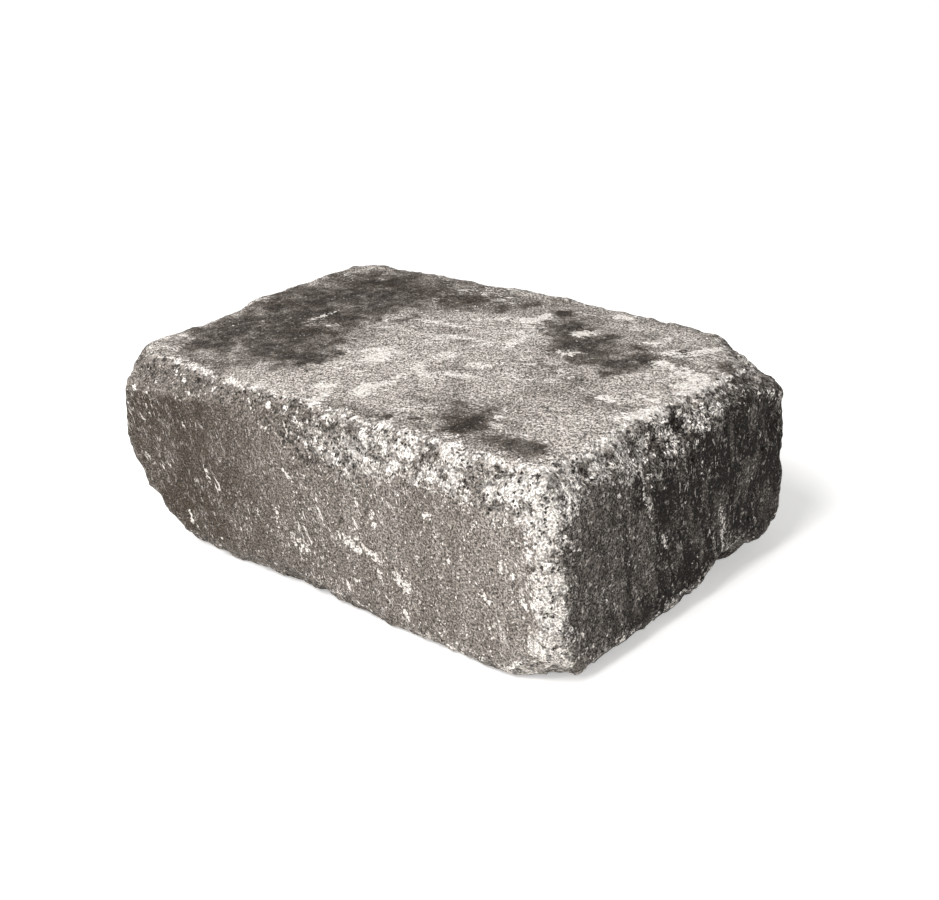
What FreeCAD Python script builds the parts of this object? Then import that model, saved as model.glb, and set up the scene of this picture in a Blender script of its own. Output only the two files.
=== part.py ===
import FreeCAD, Part

import os
from collections import namedtuple

# Tumbled retaining wall block, one solid of dry-cast concrete.
# The mould presses a plain cuboid. Tumbling in a drum then breaks flat bevels along its
# arrises and facets off its corners, rubs every edge between them round, and here and
# there knocks a hollow flake out. Millimetres, +Z up: X runs along the length, Y from
# the front face to the back, and the origin is the middle of the bottom bed.

V = FreeCAD.Vector

# The cuboid as the mould presses it, and the radius that its edges are rubbed to.
BLOCK = {"length": 266.7, "depth": 177.8, "height": 88.9, "rub_radius": 8.0}

# An arris is named by its two faces. A bevel is a plane along it: low and high are how far
# in from the sharp arris it reaches on the first face, at the left or front end (or the
# foot of an upright) and at the other end. A negative reach says that the bevel has run
# out before that end. lean is its reach on the second face for each mm on the first.
Bevel = namedtuple("Bevel", "low high lean")

BEVELS = {
    "top_front": [Bevel(14.0, -8.0, 1.3), Bevel(4.0, 7.0, 2.5), Bevel(-4.0, 9.0, 1.4)],
    "top_back": [Bevel(14.0, 1.0, 0.9), Bevel(7.0, 7.0, 1.1), Bevel(-13.0, 17.0, 0.8)],
    "top_left": [Bevel(18.0, -10.0, 0.75), Bevel(6.0, 8.0, 1.2)],
    "top_right": [Bevel(11.0, 5.0, 1.3), Bevel(4.0, 12.0, 1.2)],
    "bed_front": [Bevel(12.0, -4.0, 1.1), Bevel(6.0, 3.0, 1.0)],
    "bed_back": [Bevel(14.0, -2.0, 0.8), Bevel(5.0, 11.0, 1.3)],
    "bed_left": [Bevel(18.0, -8.0, 1.2), Bevel(6.0, 10.0, 0.9)],
    "bed_right": [Bevel(6.0, 12.0, 1.1), Bevel(-14.0, 23.0, 0.85)],
    "front_left": [Bevel(25.0, 2.0, 0.9), Bevel(0.0, 21.0, 1.2)],
    "front_right": [Bevel(6.0, 9.0, 0.9)],
    "back_left": [Bevel(8.0, 11.0, 0.8)],
    "back_right": [Bevel(20.0, 19.0, 1.2)],
}

# A corner facet is a plane with these reaches in from the sharp corner along X, Y and Z.
Facet = namedtuple("Facet", "x y z")

FACETS = {
    "front_left_top": Facet(33.0, 32.0, 32.0),
    "front_right_top": Facet(15.0, 14.0, 24.0),
    "back_left_top": Facet(35.0, 30.0, 26.0),
    "back_right_top": Facet(57.0, 47.0, 28.0),
    "front_left_bed": Facet(58.0, 40.0, 45.0),
    "front_right_bed": Facet(30.0, 25.0, 21.0),
    "back_left_bed": Facet(30.0, 32.0, 26.0),
    "back_right_bed": Facet(42.0, 48.0, 43.0),
}

# A flake leaves a scar that is part of a large sphere. It is knocked out of an arris,
# centred at one place along it, and takes chord of the sharp arris. first and second are
# how far it reaches in from there on the arris's two faces.
Flake = namedtuple("Flake", "arris at chord first second")

FLAKES = {
    "long_front_flake": Flake("top_front", 20.0, 118.0, 5.0, 27.0),
    "short_front_flake": Flake("top_front", 99.0, 72.0, 6.0, 20.0),
    "right_end_flake": Flake("top_right", -18.0, 90.0, 11.0, 18.0),
    "back_flake": Flake("top_back", -92.0, 54.0, 14.0, 12.0),
    "corner_flake": Flake("back_right", 82.0, 42.0, 46.0, 8.0),
    "left_end_flake": Flake("top_left", -34.0, 96.0, 14.0, 15.0),
    "right_foot_flake": Flake("bed_right", 30.0, 60.0, 17.0, 17.0),
    "front_foot_flake": Flake("bed_front", -22.0, 170.0, 9.0, 10.0),
    "back_foot_flake": Flake("bed_back", 20.0, 92.0, 14.0, 18.0),
}

SIDES = {
    "left": V(-1, 0, 0),
    "right": V(1, 0, 0),
    "front": V(0, -1, 0),
    "back": V(0, 1, 0),
    "bed": V(0, 0, -1),
    "top": V(0, 0, 1),
}

# Where each face lies, as the sheet gives it.
FACES = {
    "left": "-sizes.length / 2",
    "right": "sizes.length / 2",
    "front": "-sizes.depth / 2",
    "back": "sizes.depth / 2",
    "bed": "0",
    "top": "sizes.height",
}


def fill_sheet(doc):
    """Puts every size in the spreadsheet, one row each, under its own name."""
    rows = dict(BLOCK)
    for arris, bevels in BEVELS.items():
        for number, bevel in enumerate(bevels, 1):
            for size, value in bevel._asdict().items():
                rows[f"{arris}_bevel_{number}_{size}"] = value
    for corner, facet in FACETS.items():
        for axis, value in facet._asdict().items():
            rows[f"{corner}_facet_{axis}"] = value
    for name, flake in FLAKES.items():
        for size in Flake._fields[1:]:
            rows[f"{name}_{size}"] = getattr(flake, size)
    sheet = doc.addObject("Spreadsheet::Sheet", "sizes")
    for row, (name, value) in enumerate(rows.items(), 1):
        sheet.set(f"A{row}", name)
        sheet.set(f"B{row}", str(value))
        sheet.setAlias(f"B{row}", name)
    doc.recompute()
    return sheet


def at(sheet, sides):
    """The point of the sharp cuboid that lies as far out as sides says, from -1 to 1 an axis."""
    x = sides.x * sheet.get("length") / 2
    y = sides.y * sheet.get("depth") / 2
    z = (1 + sides.z) * sheet.get("height") / 2
    return V(x, y, z)


def slab_beyond(sheet, points, outward):
    """A slab beyond the plane through three points, once that has moved in by the rub radius."""
    first, second, third = points
    along = (second - first).normalize()
    normal = along.cross(third - first).normalize()
    if normal.dot(outward) < 0:
        normal = -normal
    across = normal.cross(along)
    size = sheet.get("length") + sheet.get("depth") + sheet.get("height")
    middle = first - normal * sheet.get("rub_radius")
    quad = [middle + (along * a + across * b) * size for a, b in ((-1, -1), (1, -1), (1, 1), (-1, 1))]
    return Part.Face(Part.makePolygon(quad + quad[:1])).extrude(normal * size)


def bevel_slab(sheet, arris, number):
    """What one bevel breaks off, through its reaches at both ends of the arris."""
    first, second = (SIDES[side] for side in arris.split("_"))
    low, high, lean = (sheet.get(f"{arris}_bevel_{number}_{size}") for size in Bevel._fields)
    out = first + second
    run = V(1 - abs(out.x), 1 - abs(out.y), 1 - abs(out.z))
    ends = [(low, at(sheet, out - run)), (high, at(sheet, out + run))]
    points = [end - second * reach for reach, end in ends]
    reach, end = max(ends, key=lambda pair: pair[0])
    points.append(end - first * reach * lean)
    return slab_beyond(sheet, points, out)


def facet_slab(sheet, corner):
    """What one corner facet breaks off, through its reaches along the three arrises."""
    x, y, z = (sheet.get(f"{corner}_facet_{axis}") for axis in Facet._fields)
    across, along, upright = (SIDES[side] for side in corner.split("_"))
    out = across + along + upright
    tip = at(sheet, out)
    return slab_beyond(sheet, [tip - along * x, tip - across * y, tip - upright * z], out)


def broken_core(doc, sheet):
    """The cuboid with its bevels and facets, everywhere smaller by the rub radius."""
    cuboid = doc.addObject("Part::Box", "core_cuboid")
    for size, side in (("Length", "length"), ("Width", "depth"), ("Height", "height")):
        cuboid.setExpression(size, f"sizes.{side} - 2 * sizes.rub_radius")
    for axis, side in (("x", "left"), ("y", "front"), ("z", "bed")):
        cuboid.setExpression(f".Placement.Base.{axis}", f"{FACES[side]} + sizes.rub_radius")
    doc.recompute()
    shape = cuboid.Shape
    for arris, bevels in BEVELS.items():
        for number in range(1, len(bevels) + 1):
            shape = shape.cut(bevel_slab(sheet, arris, number))
    for corner in FACETS:
        shape = shape.cut(facet_slab(sheet, corner))
    core = doc.addObject("Part::Feature", "broken_core")
    core.Shape = shape.removeSplitter()
    return core


def scar(doc, name):
    """The sphere that one flake breaks off along, larger by the rub radius to suit the core.

    Its centre stands off from each of the two faces, out from the block, so that the
    scar meets the sharp arris at both ends of the chord and each face at its reach.
    """
    sphere = doc.addObject("Part::Sphere", name)
    half_chord = f"(sizes.{name}_chord / 2)"
    squares = [f"{half_chord} ^ 2"]
    free = {"x", "y", "z"}
    first, second = FLAKES[name].arris.split("_")
    for side, reach in ((second, f"sizes.{name}_first"), (first, f"sizes.{name}_second")):
        stand_off = f"(({half_chord} ^ 2 - {reach} ^ 2) / (2 * {reach}))"
        squares.append(f"{stand_off} ^ 2")
        axis = next(axis for axis in "xyz" if getattr(SIDES[side], axis))
        sign = int(getattr(SIDES[side], axis))
        sphere.setExpression(f".Placement.Base.{axis}", f"{FACES[side]} + {sign} * {stand_off}")
        free.remove(axis)
    sphere.setExpression(f".Placement.Base.{free.pop()}", f"sizes.{name}_at")
    sphere.setExpression("Radius", f"sqrt({' + '.join(squares)}) + sizes.rub_radius")
    return sphere


def wall_block(doc, sheet):
    """Breaks the core, flakes it, and grows it back by the rub radius.

    Growing leaves its planes flat, and rounds every edge between them and round a scar.
    """
    core = broken_core(doc, sheet)
    for name in FLAKES:
        flaked = doc.addObject("Part::Cut", f"core_after_{name}")
        flaked.Base = core
        flaked.Tool = scar(doc, name)
        core = flaked
    block = doc.addObject("Part::Offset", "wall_block")
    block.Source = core
    block.Join = "Arc"
    block.setExpression("Value", "sizes.rub_radius")
    doc.recompute()
    return block


def check(doc, parts):
    """Stops before anything is written if a feature failed or a shape isn't sound."""
    for thing in doc.Objects:
        if {"Invalid", "Error"} & set(thing.State):
            raise RuntimeError(f"{thing.Name} failed: {thing.State}")
    for part in parts:
        if part.Shape.isNull() or not part.Shape.isValid() or len(part.Shape.Solids) != 1:
            raise RuntimeError(f"{part.Label} is not one sound solid")


def main():
    doc = FreeCAD.newDocument("tumbled_wall_block")
    sheet = fill_sheet(doc)
    parts = [wall_block(doc, sheet)]
    check(doc, parts)
    os.makedirs("parts", exist_ok=True)
    for part in parts:
        part.Shape.exportStep(os.path.join("parts", f"{part.Label}.step"))
        box = part.Shape.optimalBoundingBox(False)
        print(part.Label, f"{box.XLength:.2f} x {box.YLength:.2f} x {box.ZLength:.2f} mm")
        print(f"{part.Shape.Volume / 1000:.1f} cm3, {len(part.Shape.Faces)} faces")


main()
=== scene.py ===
import math
from types import SimpleNamespace

import bmesh
import bpy
from bpy.props import FloatProperty, FloatVectorProperty, IntProperty, PointerProperty
from mathutils import Matrix, Vector


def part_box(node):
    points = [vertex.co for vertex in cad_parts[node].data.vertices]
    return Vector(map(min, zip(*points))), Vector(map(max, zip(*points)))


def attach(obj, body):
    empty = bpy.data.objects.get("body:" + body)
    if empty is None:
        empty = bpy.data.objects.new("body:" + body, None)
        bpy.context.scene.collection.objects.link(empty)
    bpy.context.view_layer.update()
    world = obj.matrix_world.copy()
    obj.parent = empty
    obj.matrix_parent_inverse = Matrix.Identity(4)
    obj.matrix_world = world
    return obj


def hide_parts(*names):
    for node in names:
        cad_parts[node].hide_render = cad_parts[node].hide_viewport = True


# A tumbled wall block of dry-cast concrete, with its relief and finish, on a plain stage.
# Lengths are in metres and in the frame of the solid: +X along the length to the right end,
# +Y from the front face to the back, +Z up, and the origin in the middle of the bed.

bl_info = {
    "name": "Tumbled wall block",
    "version": (1, 0, 0),
    "blender": (4, 5, 0),
    "location": "3D View > Sidebar > Wall Block",
    "description": "Gives a packed wall block its tumbled concrete relief, finish and stage",
    "category": "Object",
}

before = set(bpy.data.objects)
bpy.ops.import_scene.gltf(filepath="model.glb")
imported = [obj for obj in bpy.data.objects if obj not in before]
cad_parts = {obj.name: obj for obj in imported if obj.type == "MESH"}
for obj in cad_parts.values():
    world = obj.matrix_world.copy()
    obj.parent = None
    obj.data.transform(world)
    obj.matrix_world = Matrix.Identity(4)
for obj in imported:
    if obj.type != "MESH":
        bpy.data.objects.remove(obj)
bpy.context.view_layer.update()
LOW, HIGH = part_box("wall_block")

MM = 0.001
IMAGE_WIDTH = 939
SENSOR_WIDTH = 36.0

# The share of the triangles that is kept, to stay under 200,000.
KEPT_SHARE = 0.56

# Where the right end, the front face and the top bed lie, in millimetres.
RIGHT = HIGH.x / MM
FRONT = LOW.y / MM
TOP = HIGH.z / MM

# The lean of the marks on the sides, in radians.
STEEP = (0.0, -0.4, 0.0)

# Hollows that a knock or a lost pebble left, each with its middle, its reach and its depth
# in millimetres. They are the ones that can be told apart, and the rest come from a rule.
DENTS = (
    (115.0, 66.0, 81.0, 10.0, 4.0),
    (133.0, 60.0, 66.0, 12.0, 2.4),
    (129.0, -1.0, 83.0, 7.0, 3.0),
    (126.0, 10.0, 86.0, 5.0, 1.6),
    (21.0, -88.9, 44.0, 3.0, 2.2),
    (120.0, -88.0, 28.0, 4.0, 2.0),
    (-128.0, 30.0, 60.0, 7.0, 2.4),
    (-40.0, 88.9, 52.0, 4.0, 2.4),
    (60.0, 88.0, 80.0, 9.0, 2.6),
)

# Dark stains on the top bed: the middle along X and Y, the reach and the strength.
STAINS = (
    (-92.0, -30.0, 36.0, 0.79),
    (-64.0, -34.0, 32.0, 0.79),
    (-98.0, 8.0, 38.0, 0.79),
    (-74.0, 14.0, 33.0, 0.79),
    (-84.0, 42.0, 34.0, 0.79),
    (-48.0, -40.0, 20.0, 0.79),
    (-62.0, 40.0, 25.0, 0.7),
    (-40.0, 52.0, 18.0, 0.66),
    (-92.0, -52.0, 18.0, 0.8),
    (-66.1, 45.1, 4.5, 1),
    (-32.9, 51.3, 4.0, 1),
    (-28.3, 57.6, 4.5, 0.8),
    (-2.9, 62.9, 7.0, 0.7),
    (15.6, 62.4, 5.5, 1),
    (18.1, 50.7, 3.0, 1),
    (27.1, 48.2, 4.5, 1),
    (35.5, 53.5, 4.5, 1),
    (55.1, 48.6, 5.5, 1),
    (73.1, 43.3, 4.0, 1),
    (82.8, 13.6, 6.0, 1),
    (81.3, 28.1, 13.0, 0.92),
    (50.8, 5.5, 4.0, 0.8),
    (50.4, 33.3, 15.0, 0.86),
    (-13.0, 53.1, 9.0, 0.55),
    (63.0, 25.7, 16.0, 0.72),
    (97.0, 45.4, 9.0, 0.62),
    (121.0, 44.0, 9.0, 0.7),
    (68.3, 60.1, 8.0, 0.5),
    (30.6, 47.0, 16.0, 0.66),
    (-34.2, -43.8, 5.0, 1),
    (-39.1, -50.0, 4.5, 1),
    (-31.7, -37.8, 4.0, 1),
    (-30.3, -32.4, 3.5, 0.9),
    (-91.4, 9.5, 5.0, 1),
    (37.6, -71.7, 3.5, 0.75),
    (49.2, -67.7, 2.5, 1),
    (50.2, -45.5, 3.5, 0.8),
    (61.5, -50.7, 3.5, 0.7),
    (70.4, -56.0, 7.0, 1.0),
    (69.0, -63.2, 8.0, 0.95),
    (95.3, -67.7, 8.0, 1.0),
    (104.6, -66.5, 7.0, 1.0),
    (93.8, -15.2, 5.0, 0.45),
    (39.6, -44.7, 4.0, 0.3),
    (64.0, -53.0, 14.0, 0.66),
)

# Where the lime crust is thick: the middle, the reach and the strength.
CRUST = (
    (36.8, -86.0, 79.0, 12.0, 0.9),
    (59.0, -84.0, 82.0, 14.0, 1.0),
    (77.5, -84.0, 82.0, 13.0, 1.0),
    (99.0, -84.0, 83.0, 11.0, 0.88),
    (118.6, -84.0, 82.0, 12.0, 0.9),
    (129.0, -86.0, 74.0, 12.0, 1.0),
    (127.0, -88.0, 58.0, 7.0, 0.95),
    (129.2, -87.0, 46.0, 8.0, 1.0),
    (129.8, -87.0, 31.0, 8.0, 1.0),
    (127.8, -87.0, 18.0, 11.0, 1.0),
    (130.0, -69.0, 84.0, 11.0, 0.8),
    (129.0, -56.0, 86.0, 9.0, 0.7),
    (128.4, -29.0, 87.0, 8.0, 0.5),
    (131.0, -48.0, 80.0, 8.0, 0.55),
    (16.9, -87.0, 79.0, 8.0, 0.5),
    (-95.6, -85.0, 84.0, 9.0, 0.5),
    (-124.9, -74.0, 86.0, 9.0, 0.5),
)

# White scrapes: the middle, the fall and the heading of the long way in degrees, the length
# and the width. A heading of 0 runs along X and one of 90 along Y.
SCRAPES = (
    (31.2, -88.9, 35.3, 14.0, 0.0, 26.0, 3.1),
    (55.0, -88.9, 26.0, 17.0, 0.0, 10.0, 3.6),
    (55.4, -88.9, 11.7, 39.0, 0.0, 8.0, 1.7),
    (-5.5, -88.9, 25.6, 25.0, 0.0, 12.0, 2.8),
    (-20.1, -88.9, 35.8, 80.0, 0.0, 9.0, 1.7),
    (40.4, -88.9, 48.5, 80.0, 0.0, 10.0, 1.7),
    (98.8, -88.9, 33.7, 40.0, 0.0, 5.0, 2.0),
    (80.5, -88.9, 45.4, 46.0, 0.0, 7.0, 1.7),
    (70.8, -88.9, 60.1, 7.0, 0.0, 7.0, 1.7),
    (-10.1, -88.9, 57.3, 49.0, 0.0, 5.0, 2.0),
    (10.6, -88.9, 69.3, 49.0, 0.0, 10.0, 1.7),
    (21.9, -88.9, 14.1, 66.0, 0.0, 5.0, 1.7),
    (108.7, -88.9, 50.1, 73.0, 0.0, 7.0, 1.7),
    (-80.1, -88.9, 17.3, 80.0, 0.0, 7.0, 1.7),
    (-64.0, -88.9, 43.4, 58.0, 0.0, 5.0, 1.7),
    (-45.7, -88.9, 33.8, 48.0, 0.0, 5.0, 1.7),
    (-32.8, -88.9, 35.1, 42.0, 0.0, 5.0, 1.7),
    (118.7, -88.9, 37.0, 47.0, 0.0, 6.0, 1.7),
    (-20.0, 22.5, 88.9, 0.0, 5.0, 24.0, 3.9),
    (-4.4, 11.4, 88.9, 0.0, 18.0, 29.0, 3.9),
    (12.7, 54.8, 88.9, 0.0, 97.0, 11.0, 4.8),
    (10.6, 46.8, 88.9, 0.0, 22.0, 11.0, 8.2),
    (-1.0, 42.8, 88.9, 0.0, 38.0, 17.0, 3.9),
    (19.1, 30.4, 88.9, 0.0, 11.0, 17.0, 4.8),
    (23.7, 20.0, 88.9, 0.0, 92.0, 14.0, 6.1),
    (13.4, 11.9, 88.9, 0.0, 72.0, 9.0, 4.8),
    (42.0, 45.7, 88.9, 0.0, 44.0, 10.0, 7.5),
    (-23.4, -21.0, 88.9, 0.0, 57.0, 19.0, 4.8),
    (-15.4, -25.7, 88.9, 0.0, 84.0, 19.0, 11.0),
    (9.8, -38.4, 88.9, 0.0, 84.0, 9.0, 5.5),
    (-8.8, -63.1, 88.9, 0.0, 15.0, 10.0, 8.2),
    (10.2, -59.5, 88.9, 0.0, 73.0, 8.0, 11.0),
    (8.1, -51.3, 88.9, 0.0, 51.0, 15.0, 5.5),
    (-0.3, -77.0, 88.9, 0.0, 99.0, 16.0, 4.8),
    (11.6, -86.7, 88.9, 0.0, 34.0, 11.0, 8.2),
    (7.4, -24.9, 88.9, 0.0, 52.0, 7.0, 8.2),
    (17.0, -30.1, 88.9, 0.0, -10.0, 15.0, 4.2),
    (9.2, -8.3, 88.9, 0.0, 78.0, 14.0, 5.5),
    (99.3, -10.3, 88.9, 0.0, 3.0, 11.0, 4.8),
    (-77.3, -0.1, 88.9, 0.0, 91.0, 15.0, 2.6),
    (77.9, 53.1, 88.9, 0.0, 27.0, 15.0, 3.9),
    (88.9, 45.4, 88.9, 0.0, 42.0, 11.0, 4.8),
    (99.8, 55.3, 88.9, 0.0, 65.0, 24.0, 4.8),
    (94.2, 33.6, 88.9, 0.0, -2.0, 11.0, 4.8),
    (104.0, 32.4, 88.9, 0.0, -3.0, 13.0, 6.1),
    (116.9, 26.5, 88.9, 0.0, -17.0, 20.0, 11.0),
    (117.3, 18.6, 88.9, 0.0, 20.0, 13.0, 4.8),
    (120.4, 13.5, 88.9, 0.0, 51.0, 14.0, 6.1),
    (119.0, -14.1, 88.9, 0.0, 64.0, 21.0, 8.2),
    (44.5, 73.9, 88.9, 0.0, -9.0, 11.0, 6.8),
    (53.1, 23.0, 88.9, 0.0, 17.0, 12.0, 4.2),
    (30.1, -9.4, 88.9, 0.0, 18.0, 12.0, 5.5),
    (28.3, -23.4, 88.9, 0.0, 14.0, 17.0, 5.5),
    (133.3, -30.0, 60.0, 66.0, 90.0, 14.0, 2.7),
    (133.3, -21.0, 41.0, 80.0, 90.0, 9.0, 2.3),
    (133.3, 20.0, 30.0, 84.0, 90.0, 20.0, 3.1),
    (133.3, -59.0, 33.0, 75.0, 90.0, 6.0, 2.3),
)


def linear(colour):
    """An sRGB hex colour as linear red, green, blue and alpha."""
    channels = [int(colour[place:place + 2], 16) / 255 for place in (0, 2, 4)]
    curve = [c / 12.92 if c <= 0.04045 else ((c + 0.055) / 1.055) ** 2.4 for c in channels]
    return (*curve, 1.0)


def add(tree, kind, inputs=None, **settings):
    """Adds a node with its settings and links, and gives its first output in use."""
    node = tree.nodes.new(kind)
    for name, value in settings.items():
        setattr(node, name, value)
    sockets = [socket for socket in node.inputs if socket.enabled]
    for key, value in (inputs or {}).items():
        socket = sockets[key] if isinstance(key, int) else next(s for s in sockets if s.name == key)
        if isinstance(value, bpy.types.NodeSocket):
            tree.links.new(value, socket)
        else:
            socket.default_value = value
    return next(socket for socket in node.outputs if socket.enabled)


def drift(tree, place, size, span, turn=(0.0, 0.0, 0.0), detail=2.0, wander=0.0, shift=0.0):
    """A share from 0 to 1 that drifts over the surface.

    size is its grain along X, Y and Z in mm once it has been turned, or a socket, span the
    part of the noise that becomes 0 to 1, wander how much it curls, and shift moves it to
    fresh noise.
    """
    moved = add(tree, "ShaderNodeVectorMath", {0: place, 1: (shift, shift, shift)}, operation="ADD")
    turned = add(tree, "ShaderNodeVectorRotate", {"Vector": moved, "Rotation": turn},
                 rotation_type="EULER_XYZ", invert=True)
    scaled = add(tree, "ShaderNodeVectorMath", {0: turned, 1: size}, operation="DIVIDE")
    noise = add(tree, "ShaderNodeTexNoise", {
        "Vector": scaled, "Scale": 1.0, "Detail": detail, "Distortion": wander,
    })
    return add(tree, "ShaderNodeMapRange", {
        "Value": noise, "From Min": span[0], "From Max": span[1],
    }, interpolation_type="SMOOTHSTEP")


def grains(tree, place, size, reach, share, shift=0.0, core=0.35):
    """A share that is 1 at the middle of scattered round grains and 0 at their reach.

    size is how far apart they lie in mm along X, Y and Z, or a socket, reach is in sizes,
    core is the part of it that is full, and share is how many of all the places hold one.
    """
    moved = add(tree, "ShaderNodeVectorMath", {0: place, 1: (shift, shift, shift)}, operation="ADD")
    scaled = add(tree, "ShaderNodeVectorMath", {0: moved, 1: size}, operation="DIVIDE")
    spots = add(tree, "ShaderNodeTexVoronoi", {"Vector": scaled, "Scale": 1.0})
    picked = add(tree, "ShaderNodeSeparateXYZ", {0: spots.node.outputs["Color"]})
    kept = add(tree, "ShaderNodeMath", {0: picked, 1: share}, operation="LESS_THAN")
    dome = add(tree, "ShaderNodeMapRange", {
        "Value": spots, "From Min": reach, "From Max": reach * core,
    }, interpolation_type="SMOOTHSTEP")
    return add(tree, "ShaderNodeMath", {0: dome, 1: kept}, operation="MULTIPLY")


def product(tree, *factors):
    """Multiplies any number of values and sockets."""
    result = factors[0]
    for factor in factors[1:]:
        result = add(tree, "ShaderNodeMath", {0: result, 1: factor}, operation="MULTIPLY")
    return result


class WallBlockRelief(bpy.types.PropertyGroup):
    """How the surface of the block departs from its smooth solid."""

    mesh_grain: FloatProperty(
        name="Mesh grain", description="Spacing of the points of the finished mesh",
        default=1.0 * MM, precision=5, unit="LENGTH")
    wear_blur: IntProperty(
        name="Wear blur", description="Steps that spread the wear out from the broken arrises",
        default=60, min=0)
    lump_size: FloatProperty(
        name="Lump size", description="Distance between the lumps along a worn arris",
        default=12.0 * MM, precision=4, unit="LENGTH")
    lump_height: FloatProperty(
        name="Lump height", description="How far the lumps stand above the hollows",
        default=2.6 * MM, precision=4, unit="LENGTH")
    chip_size: FloatProperty(
        name="Chip size", description="Distance between the places that may have chipped",
        default=15.0 * MM, precision=4, unit="LENGTH")
    chip_depth: FloatProperty(
        name="Chip depth", description="Depth of a chip in a worn arris",
        default=1.8 * MM, precision=4, unit="LENGTH")
    grit_size: FloatProperty(
        name="Grit size", description="Size of the gravel laid bare by wear",
        default=2.7 * MM, precision=4, unit="LENGTH")
    grit_height: FloatProperty(
        name="Grit height", description="How far the bare gravel stands out",
        default=0.5 * MM, precision=4, unit="LENGTH")
    pit_size: FloatProperty(
        name="Pit spacing", description="Distance between the places that may hold a pit",
        default=8.0 * MM, precision=4, unit="LENGTH")
    pit_depth: FloatProperty(
        name="Pit depth", description="Depth of a pit in a pressed face",
        default=0.9 * MM, precision=4, unit="LENGTH")
    face_wave: FloatProperty(
        name="Face wave", description="How far a pressed face dips in places",
        default=0.35 * MM, precision=5, unit="LENGTH")


class WallBlockColours(bpy.types.PropertyGroup):
    """The colours of the concrete, of what it is soiled with, of its painted shade and of the
    floor.
    """

    body: FloatVectorProperty(
        name="Concrete", description="Warm grey of the clean pressed faces",
        subtype="COLOR", size=4, min=0, max=1, default=linear("807871"))
    shade: FloatVectorProperty(
        name="Damp grey", description="Darker grey of the denser patches",
        subtype="COLOR", size=4, min=0, max=1, default=linear("6E6760"))
    dust: FloatVectorProperty(
        name="Dust", description="Pale sandy dust in the middle of the top bed",
        subtype="COLOR", size=4, min=0, max=1, default=linear("C0B8B1"))
    stain: FloatVectorProperty(
        name="Stain", description="Dark stains and the soiled end",
        subtype="COLOR", size=4, min=0, max=1, default=linear("41372D"))
    lime: FloatVectorProperty(
        name="Lime", description="White lime scuffs, and the crushed grains on worn arrises",
        subtype="COLOR", size=4, min=0, max=1, default=linear("F4EDE6"))
    # A near black for the painted shade in the pores, the gaps between grains, the pits and the
    # hollows, for the cores of the stains, and for the right end, which is soil and painted shade.
    pore: FloatVectorProperty(
        name="Pore", description="Pores and the shadowed gaps between grains",
        subtype="COLOR", size=4, min=0, max=1, default=linear("1E1813"))
    floor: FloatVectorProperty(
        name="Floor", description="Plain pale floor",
        subtype="COLOR", size=4, min=0, max=1, default=linear("F2F1EF"))


class WallBlockStage(bpy.types.PropertyGroup):
    """The camera and the lights."""

    azimuth: FloatProperty(
        name="Azimuth", description="Camera's turn from straight in front towards the right end",
        default=math.radians(43.441), subtype="ANGLE")
    elevation: FloatProperty(
        name="Elevation", description="Camera's height over the horizon",
        default=math.radians(23.336), subtype="ANGLE")
    roll: FloatProperty(
        name="Roll", description="Camera's turn about its own line of sight",
        default=math.radians(-3.645), subtype="ANGLE")
    distance: FloatProperty(
        name="Distance", description="From the camera to its aim",
        default=0.718, unit="LENGTH")
    aim_right: FloatProperty(
        name="Aim right", description="Aim's place to the right of the block's middle, as seen",
        default=8.928 * MM, precision=5, unit="LENGTH")
    aim_up: FloatProperty(
        name="Aim up", description="Aim's place above the block's middle, as seen",
        default=-5.355 * MM, precision=5, unit="LENGTH")
    focal_pixels: FloatProperty(
        name="Focal length in pixels", description="Focal length in pixels of the image",
        default=1586.66)
    key_power: FloatProperty(
        name="Key light", description="Power of the large soft lamp at the upper left, in watts",
        default=34.0, min=0)
    fill_strength: FloatProperty(
        name="Fill", description="Strength of the even light from all round",
        default=0.36, min=0)


class WallBlockSettings(bpy.types.PropertyGroup):
    """All that can be set on the block and its stage."""

    relief: PointerProperty(type=WallBlockRelief)
    colours: PointerProperty(type=WallBlockColours)
    stage: PointerProperty(type=WallBlockStage)


def bent(tree, place, size, throw):
    """Moves each place a little by noise with a grain of size, so that round marks turn ragged."""
    noise = add(tree, "ShaderNodeTexNoise", {"Vector": place, "Scale": 1 / size, "Detail": 4.0})
    push = add(tree, "ShaderNodeVectorMath", {0: noise.node.outputs["Color"], 1: (0.5, 0.5, 0.5)},
               operation="SUBTRACT")
    push = add(tree, "ShaderNodeVectorMath", {0: push, "Scale": throw}, operation="SCALE")
    return add(tree, "ShaderNodeVectorMath", {0: place, 1: push}, operation="ADD")


def patch_field(tree, place, patches):
    """How deep a point lies in a patch: its whole strength at the middle, half at its reach."""
    place = bent(tree, place, size=11.0, throw=16.0)
    begins, whole = 1.6, 0.4
    field = 0.0
    for *middle, reach, strength in patches:
        away = add(tree, "ShaderNodeVectorMath", {0: place, 1: middle},
                   operation="DISTANCE").node.outputs["Value"]
        blot = add(tree, "ShaderNodeMapRange", {
            "Value": away, "From Min": begins * reach, "From Max": whole * reach,
            "To Max": strength})
        field = add(tree, "ShaderNodeMath", {0: field, 1: blot}, operation="MAXIMUM")
    return field


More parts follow.
